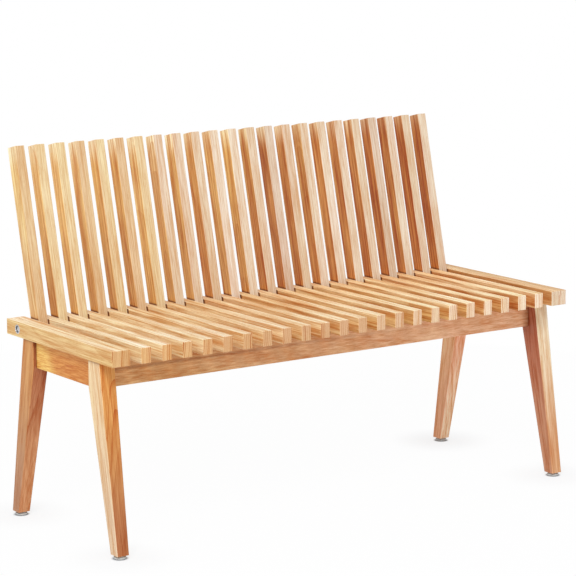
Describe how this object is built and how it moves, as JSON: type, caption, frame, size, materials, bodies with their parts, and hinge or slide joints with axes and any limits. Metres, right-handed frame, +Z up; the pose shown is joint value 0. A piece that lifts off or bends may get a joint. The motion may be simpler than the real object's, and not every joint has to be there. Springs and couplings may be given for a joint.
{
  "type": "convertible slatted bench and table",
  "caption": "Slatted wooden garden bench whose back of single slats folds down between the seat slats on one rod, which makes a flat low table.",
  "frame": {"origin": "on the floor, under the middle of the bench's bounding box with the back raised", "axes": "+X along the bench to the right as seen from the front, +Y from the front to the back, +Z up"},
  "size_m": [1.2, 0.4988, 0.7972],
  "materials": {
    "seat_wood": "oiled",
    "back_wood": "oiled",
    "base_wood": "oiled",
    "hidden_wood": "oiled",
    "pivot_steel": "stainless",
    "zinc_steel": "zinc plated",
    "glide_plastic": "moulded"
  },
  "bodies": {
    "bench_frame": {"seat_slats_01_02": "seat_wood", "seat_slats_03_04": "seat_wood", "seat_slats_05_06": "seat_wood", "seat_slats_07_08": "seat_wood", "seat_slats_09_10": "seat_wood", "seat_slats_11_12": "seat_wood", "seat_slats_13_14": "seat_wood", "seat_slats_15_16": "seat_wood", "seat_slats_17_18": "seat_wood", "seat_slats_19_20": "seat_wood", "seat_slats_21_22": "seat_wood", "end_board_left_outer": "seat_wood", "end_board_left_inner": "seat_wood", "end_board_right_outer": "seat_wood", "end_board_right_inner": "seat_wood", "leg_front_left": "base_wood", "leg_front_right": "base_wood", "leg_rear_left": "base_wood", "leg_rear_right": "base_wood", "apron_front": "base_wood", "apron_rear": "base_wood", "apron_left": "base_wood", "apron_right": "base_wood", "corner_blocks": "hidden_wood", "pivot_rod": "pivot_steel", "pivot_end_cups": "pivot_steel", "pivot_end_nuts": "pivot_steel", "pivot_washers": "pivot_steel", "seat_screws": "zinc_steel", "hanger_bolts": "zinc_steel", "hanger_bolt_washers": "zinc_steel", "hanger_bolt_nuts": "zinc_steel", "foot_glide_nails": "zinc_steel", "foot_glides": "glide_plastic"},
    "backrest": {"back_slat_01": "back_wood", "back_slat_02": "back_wood", "back_slat_03": "back_wood", "back_slat_04": "back_wood", "back_slat_05": "back_wood", "back_slat_06": "back_wood", "back_slat_07": "back_wood", "back_slat_08": "back_wood", "back_slat_09": "back_wood", "back_slat_10": "back_wood", "back_slat_11": "back_wood", "back_slat_12": "back_wood", "back_slat_13": "back_wood", "back_slat_14": "back_wood", "back_slat_15": "back_wood", "back_slat_16": "back_wood", "back_slat_17": "back_wood", "back_slat_18": "back_wood", "back_slat_19": "back_wood", "back_slat_20": "back_wood", "back_slat_21": "back_wood", "back_slat_22": "back_wood", "back_slat_23": "back_wood", "tie_batten": "hidden_wood", "tie_batten_screws": "zinc_steel"}
  },
  "joints": [
    {"name": "back_fold", "type": "hinge", "parent": "bench_frame", "child": "backrest", "pos_m": [0, 0.14256, 0.4165], "axis": [1, 0, 0], "range_deg": [0, 103.6]}
  ]
}
